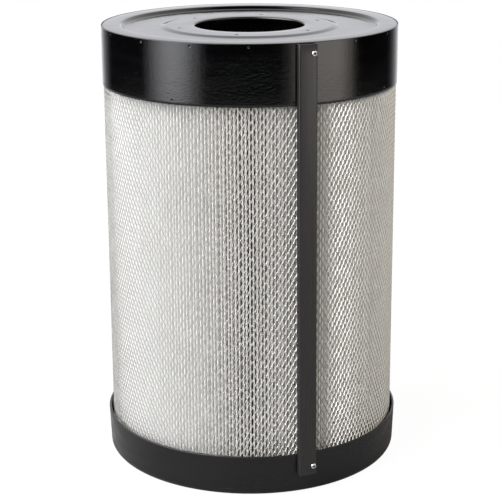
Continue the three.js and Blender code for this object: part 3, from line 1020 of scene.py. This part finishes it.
# %% The outer guard, in two half sheets
GUARD_COLUMNS = 87  # diamonds round each half
GUARD_PITCH = 12.7  # long way of a diamond
GUARD_STRAND = (1.45, 0.55, math.radians(54))
SEAM_HALF = 1.6 / guard_outer  # half the gap between the halves, as an angle
guard_middle = guard_outer - GUARD_STRAND[0] * math.sin(GUARD_STRAND[2]) - GUARD_STRAND[1] / 2

for side, start in (("right", FRONT), ("left", -FRONT)):
    sheet = expanded_metal(
        f"expanded_guard_{side}", guard_middle, guard_foot, guard_top,
        start + SEAM_HALF, start + math.pi - SEAM_HALF, GUARD_COLUMNS, GUARD_PITCH, GUARD_STRAND,
    )
    finish_piece(sheet, guard_finish, "guard_mesh", f"outer_guard_{side}")

# %% The coarser liner inside the pleats
LINER_COLUMNS = 72
LINER_PITCH = 25.0
LINER_STRAND = (2.2, 0.8, math.radians(20))
LINER_INSET = 1.2  # the strands' middle lies this far inside the liner's outer face
liner = expanded_metal(
    "expanded_liner", core_outer - LINER_INSET, drum_foot, drum_top, 0, 2 * math.pi,
    LINER_COLUMNS, LINER_PITCH, LINER_STRAND,
)
finish_piece(liner, liner_dark_and_shade_finish, "guard_mesh", "inner_core")

# %% [markdown]
# ## The pleated sheet
# The filter sheet is folded into some two hundred and fifty deep pleats. Each fold is rounded and
# no two stand quite alike: the tips wander a little from side to side and in and out, because
# only the resin at their ends holds them. The sheet is drawn as two skins, one for each side.

# %% Pleats
PLEATS = 252
PLEAT_DEPTH = 46.0
SHEET_THICKNESS = 0.6
PLEAT_ROWS = 10
FOLD_POINTS = np.array([-0.144, -0.072, 0.072, 0.144])  # shares of a pleat, round a fold's middle
FOLD_LEVELS = np.array([0.975, 1.0, 1.0, 0.975, 0.025, 0.0, 0.0, 0.025])  # 0 inside, 1 outside
WANDER = np.array([0.07, 0.05, 0.35])  # two sideways, in pleats, and one inwards, in millimetres
WANDER_LENGTH = 600.0
random = np.random.default_rng(7)


def pleated_sheet():
    """Radius and angle of the sheet's two skins, half a thickness to each side of its middle.

    A pleat has eight points: four round its outer fold and four round its inner one. Over the
    height a pleat leans by a half wave and a whole wave, and moves in by a half wave, each times
    its own random number. All of it fades out at the ends, where the resin holds the folds.
    """
    rows = np.linspace(drum_foot, drum_top, PLEAT_ROWS)
    free = np.sin(np.pi * np.linspace(0, 1, PLEAT_ROWS)) ** 0.6
    shares = np.concatenate([0.5 + FOLD_POINTS, 1.0 + FOLD_POINTS])
    share = (np.arange(PLEATS)[:, None] + shares[None, :]).ravel()
    level = np.tile(FOLD_LEVELS, PLEATS)
    wander = random.normal(0, 1, (PLEATS, 3, 1)) * WANDER[None, :, None]
    wave = np.pi * rows / WANDER_LENGTH
    lean = (wander[:, 0] * np.sin(wave) + wander[:, 1] * np.sin(2 * wave + 1)) * free
    inwards = wander[:, 2] * np.sin(wave) * free
    lean = np.repeat(lean, len(shares), 0) * level[:, None]
    inwards = np.repeat(inwards, len(shares), 0) * level[:, None]
    angle = 2 * math.pi * (share[:, None] + lean) / PLEATS
    tips_in = pleat_outer - SHEET_THICKNESS - PLEAT_DEPTH
    middle = tips_in + level[:, None] * PLEAT_DEPTH - np.abs(inwards)
    half = SHEET_THICKNESS / 2
    rising = np.tile([1, 1, -1, -1, -1, -1, 1, 1], PLEATS)[:, None]
    crest = np.tile([0, 1, 1, 0, 0, 1, 1, 0], PLEATS)[:, None]
    skins = [
        (middle + skin * half * crest, angle - skin * half * rising / middle) for skin in (1, -1)
    ]
    return rows, skins


def pleat_piece():
    """The sheet's section, row by row: up the outer skin, then down the inner one."""
    rows, skins = pleated_sheet()
    outer, inner = (around_axis(*skin, rows).reshape(*skin[0].shape, 3) for skin in skins)
    loop = np.concatenate([outer, inner[:, ::-1]], 1)
    quads = grid_quads(loop.shape[0], loop.shape[1], True, True)
    return make_piece("pleated_filter_sheet", loop.reshape(-1, 3), quads, 50, weld=False)


finish_piece(pleat_piece(), sheet_finish, "filter_paper", "pleated_media")

# %% [markdown]
# ## Rings, resin and gaskets
# These lie inside the ends of the drum and hardly show, but the inlet hole lets one look in. Each
# could be a plain ring cut from a cylinder. A turned outline costs no more and gives every edge a
# small radius: a channel, the resin that fills it, and a foam ring.

# %% End rings, potting and gaskets
RING_SHEET = 1.2
RING_REACH = 24.0  # from the gasket's outer edge in to the ring's bore
FOAM_WIDTH = 20.0
HIDDEN_SIDES = 192
BEND, CUT = 1.4, 0.4  # radii of the channel's folded edges and of its cut and inner ones


def channel_outline(bore, outer, foot, top, open_up):
    """A U channel lying on its web; open_up says which way it opens."""
    t = RING_SHEET
    web = foot + t if open_up else top - t
    if open_up:
        corners = [
            (bore, foot, BEND), (outer, foot, BEND), (outer, top, CUT), (outer - t, top, CUT),
            (outer - t, web, CUT), (bore + t, web, CUT), (bore + t, top, CUT), (bore, top, CUT),
        ]
    else:
        corners = [
            (bore, foot, CUT), (bore + t, foot, CUT), (bore + t, web, CUT), (outer - t, web, CUT),
            (outer - t, foot, CUT), (outer, foot, CUT), (outer, top, BEND), (bore, top, BEND),
        ]
    return rounded(corners, steps=4)


def slab_outline(inner, outer, foot, top, corner, steps):
    """A rectangle's section with rounded corners."""
    return rounded([(inner, foot), (outer, foot), (outer, top), (inner, top)], corner, steps)


ring_bore = box_mm("upper_gasket")[1][0] - RING_REACH
for end, open_up in (("lower", True), ("upper", False)):
    radius, foot, top = round_sizes(f"{end}_end_ring")
    channel = channel_outline(ring_bore, radius, foot, top, open_up)
    ring = turned_piece(f"{end}_channel_ring", channel, HIDDEN_SIDES)
    finish_piece(ring, strap_finish, "ring_paint", f"{end}_end_ring")

    radius, foot, top = round_sizes(f"{end}_potting")
    filling = slab_outline(ring_bore + RING_SHEET + GAP, radius, foot, top, 0.5, 3)
    resin = turned_piece(f"{end}_resin", filling, HIDDEN_SIDES)
    finish_piece(resin, resin_finish, "potting_resin", f"{end}_potting")

    radius, foot, top = round_sizes(f"{end}_gasket")
    seal = slab_outline(radius - FOAM_WIDTH, radius, foot, top, 1.2, 4)
    foam = turned_piece(f"{end}_foam_ring", seal, HIDDEN_SIDES)
    finish_piece(foam, foam_finish, "gasket_foam", f"{end}_gasket")

# %% [markdown]
# ## Straps
# Each strap is a roll-formed channel with its legs towards the drum. It stands on the cap's top
# edge and on the pan's lip, which is a little wider, so it leans out towards its foot. It is drawn
# straight, then leaned, and the rear one is the same piece turned half a turn.

# %% Strap frame
STRAP_WIDTH = 25.0
STRAP_DEPTH = 8.0
STRAP_SHEET = 1.5
STRAP_BEND = 2.5
EDGE_ROUND = 0.35
STRAP_BELOW_TOP = 1.0  # the strap's upper end lies this far under the cap's top
STRAP_FOOT = 28.0  # height of its lower end
cap_reach = math.sqrt(cap_radius**2 - (STRAP_WIDTH / 2) ** 2)
pan_reach = math.sqrt(pan_lip_radius**2 - (STRAP_WIDTH / 2) ** 2)
strap_top = cap_top - STRAP_BELOW_TOP
lean = math.atan2(pan_reach - cap_reach, strap_top - pan_height)
strap_length = strap_top - STRAP_FOOT
face_at_top = cap_reach + GAP + STRAP_DEPTH
strap_origin = np.array([
    0,
    -(face_at_top + strap_length * math.sin(lean)),
    strap_top - strap_length * math.cos(lean),
])


def lean_out(points, rear=False):
    """From the strap's own frame to the canister's: turn by the lean, move, and half a turn."""
    c, s = math.cos(lean), math.sin(lean)
    x, y, z = points.T
    moved = np.stack([x, y * c + z * s, -y * s + z * c], 1) + strap_origin
    return moved * [-1, -1, 1] if rear else moved


print("strap length", round(strap_length, 1), "lean in degrees", round(math.degrees(lean), 3))


# %% Channel
def channel_section():
    """The U as a closed outline of [across, depth] points, with the face at depth 0."""
    w, t, d = STRAP_WIDTH / 2, STRAP_SHEET, STRAP_DEPTH
    return rounded([
        (-w, 0, STRAP_BEND), (w, 0, STRAP_BEND), (w, d, EDGE_ROUND), (w - t, d, EDGE_ROUND),
        (w - t, t, STRAP_BEND - t), (-w + t, t, STRAP_BEND - t), (-w + t, d, EDGE_ROUND),
        (-w, d, EDGE_ROUND),
    ], steps=6)


def channel_strap(name, rear):
    """The section carried along the strap, and drawn in at both ends to round them.

    Each point is drawn in along the section's own normal, by an amount that fades to none over
    the first few rings.
    """
    section = channel_section()
    along = np.roll(section, -1, 0) - np.roll(section, 1, 0)
    normal = np.stack([-along[:, 1], along[:, 0]], 1)
    normal /= np.linalg.norm(normal, axis=1)[:, None]
    stations = [(0.0, EDGE_ROUND), (EDGE_ROUND * 0.3, EDGE_ROUND * 0.3), (EDGE_ROUND, 0.0)]
    stations += [(z, 0.0) for z in np.linspace(20, strap_length - 20, 14)]
    stations += [(strap_length - z, s) for z, s in stations[2::-1]]
    rings = [np.insert(section + normal * draw_in, 2, z, 1) for z, draw_in in stations]
    quads = grid_quads(len(stations), len(section), close_columns=True)[:, ::-1]
    piece = make_piece(name, lean_out(np.concatenate(rings), rear), quads, 32)
    shape = bmesh.new()
    shape.from_mesh(piece.data)
    open_edges = [e for e in shape.edges if e.is_boundary]
    bmesh.ops.holes_fill(shape, edges=open_edges)
    bmesh.ops.recalc_face_normals(shape, faces=shape.faces)
    shape.to_mesh(piece.data)
    shape.free()
    return piece


for side in ("front", "rear"):
    strap = channel_strap(f"channel_strap_{side}", side == "rear")
    finish_piece(strap, strap_finish, "strap_paint", f"strap_{side}")

# %% [markdown]
# ## Screws and nuts
# Each end of a strap is held by a pan-head screw with a hexagon socket, and a nut behind the
# guard. A turned outline gives the dome. The socket is the same outline with its radius changed
# from a circle to a hexagon: the distance to a flat is the flat's distance over the cosine of the
# angle from its middle.

# %% Screws and nuts
SCREW_OFFSET = 7.6  # to one side of the strap's middle
SCREW_FROM_END = 12.0
SCREW_HEIGHTS = {"lower": SCREW_FROM_END, "upper": strap_length - SCREW_FROM_END}
FASTENER_SIDES = 48
HEAD_RADIUS = 3.7
HEAD_HEIGHT = 2.6
HEAD_RIM = 0.6  # upright part of the head, under the dome
HEAD_CHAMFER = 0.15
SHANK_RADIUS = 2.0
TIP_CHAMFER = 0.5
SOCKET_FLAT = 1.5  # from the socket's middle to a flat
SOCKET_MOUTH = SOCKET_FLAT * 1.22
SOCKET_DEPTH = 1.6
SOCKET_ROWS = 2  # faces of the outline that lie inside the socket


def hexagon(angles, flat):
    """Distance from the middle to a hexagon's side, in each direction."""
    from_flat = (angles + math.pi / 6) % (math.pi / 3) - math.pi / 6
    return flat / np.cos(from_flat)


def along_screw(radii, depths, end):
    """Points round a screw's line: radii by direction and row, and each row's depth."""
    angles = directions(FASTENER_SIDES)[:, None]
    x = SCREW_OFFSET + radii * np.cos(angles)
    z = SCREW_HEIGHTS[end] + radii * np.sin(angles)
    return np.stack([x, np.broadcast_to(depths, x.shape), z], -1).reshape(-1, 3)


def screw_piece(name, end, rear, length):
    """Outline from the socket's floor, over the dome, down the shank to its tip.

    Each row is a radius and a depth under the head's seat. A row inside the socket has the
    hexagon's distances for its radius.
    """
    hexed = hexagon(directions(FASTENER_SIDES), SOCKET_FLAT)
    socket = [(0, SOCKET_DEPTH - HEAD_HEIGHT), (hexed, SOCKET_DEPTH - HEAD_HEIGHT)]
    socket += [(hexed, 0.15 - HEAD_HEIGHT), (SOCKET_MOUTH, 0.04 - HEAD_HEIGHT)]
    dome = [(HEAD_RADIUS * math.sin(t), -HEAD_RIM - (HEAD_HEIGHT - HEAD_RIM) * math.cos(t))
            for t in np.linspace(0.55, math.pi / 2, 8)]
    shank = [(HEAD_RADIUS, -HEAD_CHAMFER), (HEAD_RADIUS - HEAD_CHAMFER, 0), (SHANK_RADIUS, 0)]
    shank += [(SHANK_RADIUS, length - TIP_CHAMFER), (SHANK_RADIUS - TIP_CHAMFER, length)]
    outline = [*socket, *dome, *shank, (0, length)]
    radii = np.stack([np.broadcast_to(radius, FASTENER_SIDES) for radius, _ in outline], 1)
    depths = np.array([depth for _, depth in outline]) - GAP
    points = along_screw(radii, depths, end)
    quads = grid_quads(FASTENER_SIDES, len(outline), close_rows=True)[:, ::-1]
    return make_piece(name, lean_out(points, rear), quads, 30)


# %% Nuts, and everything in its place
NUT_FLAT = 3.5
NUT_THICKNESS = 3.2
NUT_CUT = NUT_FLAT * 1.02  # the corners are cut back to this radius at both faces
RIM_CHAMFER = 0.35
BORE_CHAMFER = 0.3


def nut_piece(name, end, rear, start):
    """A hexagon nut with chamfered faces and a round bore."""
    hexed = hexagon(directions(FASTENER_SIDES) + math.pi / 6, NUT_FLAT)
    cut = np.minimum(hexed, NUT_CUT)
    bore = np.full(FASTENER_SIDES, SHANK_RADIUS + GAP)
    mouth = bore + BORE_CHAMFER
    radii = np.stack([bore, mouth, cut, hexed, hexed, cut, mouth, bore], 1)
    near = np.array([BORE_CHAMFER, 0, 0, RIM_CHAMFER])
    depths = start + np.concatenate([near, NUT_THICKNESS - near[::-1]])
    points = along_screw(radii, depths, end)
    quads = grid_quads(FASTENER_SIDES, radii.shape[1], True, True)[:, ::-1]
    return make_piece(name, lean_out(points, rear), quads, 25)


for side in ("front", "rear"):
    for end in ("upper", "lower"):
        low, high = box_mm(f"strap_nut_{side}_{end}")
        face = face_at_top + (strap_length - SCREW_HEIGHTS[end]) * math.sin(lean)
        tip = face - min(abs(low[1]), abs(high[1]))
        screw = screw_piece(f"screw_{side}_{end}", end, side == "rear", tip)
        finish_piece(screw, fastener_finish, "fastener_steel", f"strap_screw_{side}_{end}")
        # the faces inside each socket get the near-black painted shade
        screw.data.materials.append(socket_shade_finish)
        rows = len(screw.data.polygons) // FASTENER_SIDES
        sunk = np.tile(np.arange(rows) < SOCKET_ROWS, FASTENER_SIDES)
        screw.data.polygons.foreach_set("material_index", sunk.astype(np.int32))
        nut = nut_piece(f"nut_{side}_{end}", end, side == "rear", tip - NUT_THICKNESS)
        finish_piece(nut, fastener_finish, "fastener_steel", f"strap_nut_{side}_{end}")

# %% [markdown]
# ## Measure and finish
# One kind of slip is looked for here: a surface whose faces look inwards, which is then turned
# round. Open edges are counted too.

# %% Check that every piece is closed and faces outwards
def volume_and_gaps(piece):
    """A mesh's volume and its open edges; an inside-out mesh is turned round.

    Six times the volume is the sum of the triangles' corner products. Below zero is inside out.
    """
    shape = bmesh.new()
    shape.from_mesh(piece.data)
    volume = shape.calc_volume(signed=True)
    open_edges = sum(1 for e in shape.edges if not e.is_manifold)
    if volume < 0:
        bmesh.ops.reverse_faces(shape, faces=shape.faces)
        shape.to_mesh(piece.data)
    shape.free()
    return volume, open_edges


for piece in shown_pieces():
    if "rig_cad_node" not in piece:
        volume, open_edges = volume_and_gaps(piece)
        note = "turned round" if volume < 0 else "ok"
        print(f"{piece.name}: {volume * 1e6:.2f} cm3, {open_edges} open edges, {note}")
